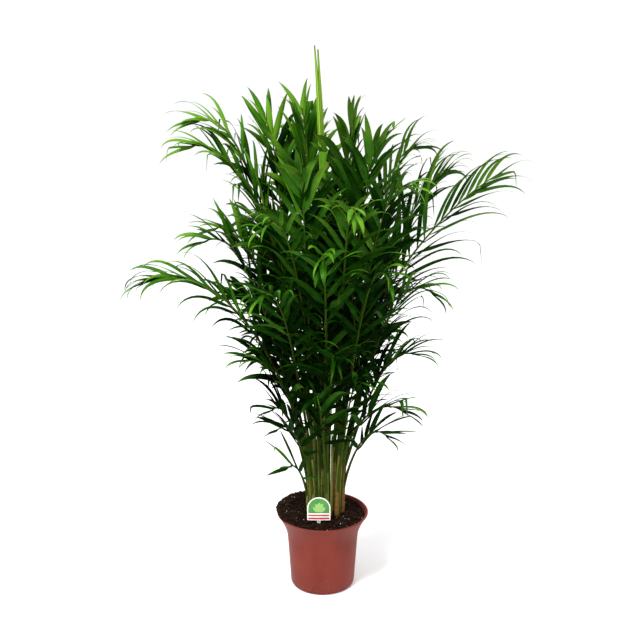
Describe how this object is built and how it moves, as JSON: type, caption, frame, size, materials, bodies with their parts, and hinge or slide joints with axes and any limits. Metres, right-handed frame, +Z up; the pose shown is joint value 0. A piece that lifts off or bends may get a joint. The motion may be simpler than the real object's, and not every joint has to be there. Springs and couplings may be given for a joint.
{
  "type": "potted palm",
  "caption": "Bushy areca-type palm with arching feather-shaped fronds on slim clustered canes, in a flared round plastic nursery pot.",
  "frame": {"origin": "centre of the pot's foot, on the floor it stands on", "axes": "+Z up, +X to the plant's right and -Y to its front, as in the picture"},
  "size_m": [1.0075, 0.7937, 1.3982],
  "materials": {
    "pot_plastic": "satin",
    "potting_mix": "matte",
    "label_card": "satin",
    "cane": "satin",
    "leaf": "satin",
    "young_leaf": "satin"
  },
  "bodies": {
    "root": {"pot": "pot_plastic", "potting_mix": "potting_mix", "plant_label": "label_card", "spear_leaf": "young_leaf", "cane_centre": "cane", "cane_inner_1": "cane", "cane_inner_2": "cane", "cane_inner_3": "cane", "cane_inner_4": "cane", "cane_inner_5": "cane", "cane_outer_1": "cane", "cane_outer_2": "cane", "cane_outer_3": "cane", "cane_outer_4": "cane", "cane_outer_5": "cane", "cane_outer_6": "cane", "cane_outer_7": "cane", "cane_outer_8": "cane", "cane_outer_9": "cane", "cane_outer_10": "cane", "frond_01": "leaf", "frond_02": "leaf", "frond_03": "leaf", "frond_04": "leaf", "frond_05": "leaf", "frond_06": "leaf", "frond_07": "leaf", "frond_08": "leaf", "frond_09": "leaf", "frond_10": "leaf", "frond_11": "leaf", "frond_12": "leaf", "frond_13": "leaf", "frond_14": "leaf", "frond_15": "leaf", "frond_16": "leaf", "frond_17": "leaf", "frond_18": "leaf", "frond_19": "leaf", "frond_20": "leaf", "frond_21": "leaf", "frond_22": "leaf", "frond_23": "leaf", "frond_24": "leaf", "frond_25": "leaf", "frond_26": "leaf", "frond_27": "leaf", "frond_28": "leaf", "frond_29": "leaf", "frond_30": "leaf", "frond_31": "leaf", "frond_32": "leaf", "frond_33": "leaf", "frond_34": "leaf", "frond_35": "leaf", "frond_36": "leaf", "frond_37": "leaf", "frond_38": "leaf", "frond_39": "leaf", "frond_40": "leaf"}
  },
  "joints": []
}
